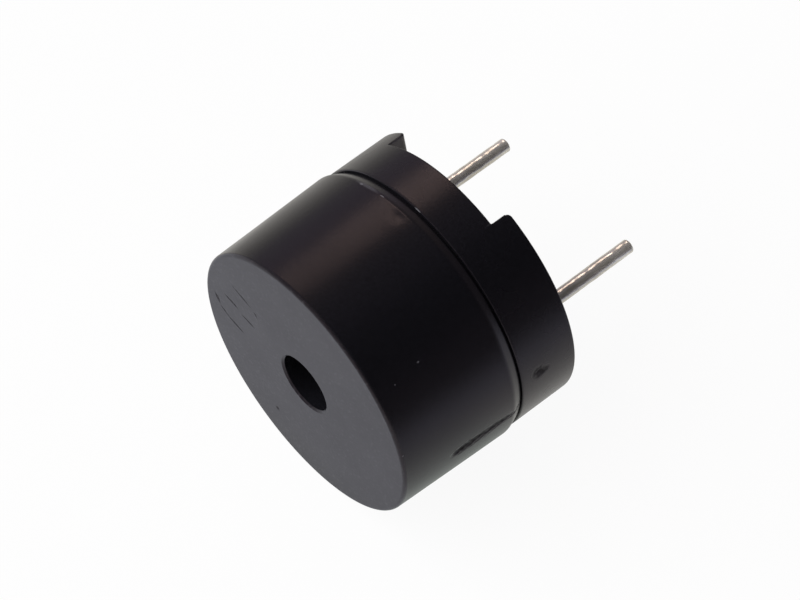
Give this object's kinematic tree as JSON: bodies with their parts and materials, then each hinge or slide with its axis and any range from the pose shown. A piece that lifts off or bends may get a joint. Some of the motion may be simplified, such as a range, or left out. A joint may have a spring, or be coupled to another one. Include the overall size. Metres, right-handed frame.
{
  "type": "piezo buzzer",
  "caption": "Round black plastic sounder with a central sound hole, notched feet and straight solder pins; a piezo disc inside turns a drive signal into sound.",
  "frame": {"origin": "centre of the seating plane, where the feet stand on the board, midway between the pins", "axes": "+Z out of the sound hole, away from the board; the pins lie on X and the notch between the feet runs along Y"},
  "size_m": [0.012, 0.012, 0.0135],
  "materials": {
    "case_plastic": "satin moulded black",
    "base_plastic": "satin moulded black",
    "tinned_pin": "dull hot-dipped tin",
    "brass_sheet": "rolled sheet",
    "piezo_ceramic": "matt fired ceramic",
    "silver_layer": "matt printed silver",
    "silicone": "cured white silicone",
    "enamelled_wire": "glossy enamelled copper",
    "solder": "bright solder"
  },
  "bodies": {
    "root": {"front_case": "case_plastic", "rear_base": "base_plastic", "pin_a": "tinned_pin", "pin_b": "tinned_pin", "sound_plate": "brass_sheet", "ceramic_disc": "piezo_ceramic", "silver_electrode": "silver_layer", "silicone_bead": "silicone", "lead_wire_a": "enamelled_wire", "lead_wire_b": "enamelled_wire", "stub_solder_a": "solder", "stub_solder_b": "solder", "brass_solder": "solder", "silver_solder": "solder"}
  },
  "joints": []
}
